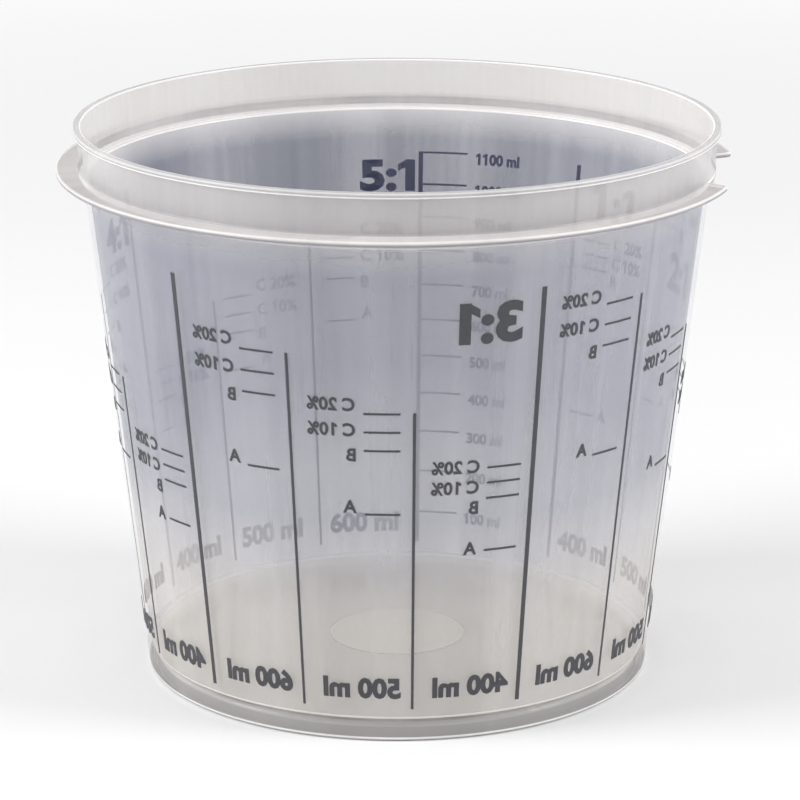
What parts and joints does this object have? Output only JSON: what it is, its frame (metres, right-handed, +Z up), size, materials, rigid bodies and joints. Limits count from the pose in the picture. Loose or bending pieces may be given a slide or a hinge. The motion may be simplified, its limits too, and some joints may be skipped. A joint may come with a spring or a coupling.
{
  "type": "resin mixing cup",
  "caption": "Thin tapered mixing cup in one translucent moulding, with a flange and lid bead at the rim, printed with a volume scale and mixing-ratio scales.",
  "frame": {"origin": "centre of the foot ring, on the table", "axes": "+Z up along the cup's axis; the 3:1 mixing scale faces -Y, the volume scale is on the +Y side and the lift gap in the flange points to +X"},
  "size_m": [0.1469, 0.1476, 0.122],
  "materials": {
    "plastic": "satin translucent",
    "ink": "matte"
  },
  "bodies": {
    "root": {"cup_moulding": "plastic", "ink_volume_scale": "ink", "ink_scale_1_to_1": "ink", "ink_scale_2_to_1": "ink", "ink_scale_3_to_1": "ink", "ink_scale_4_to_1": "ink", "ink_scale_5_to_1": "ink"}
  },
  "joints": []
}
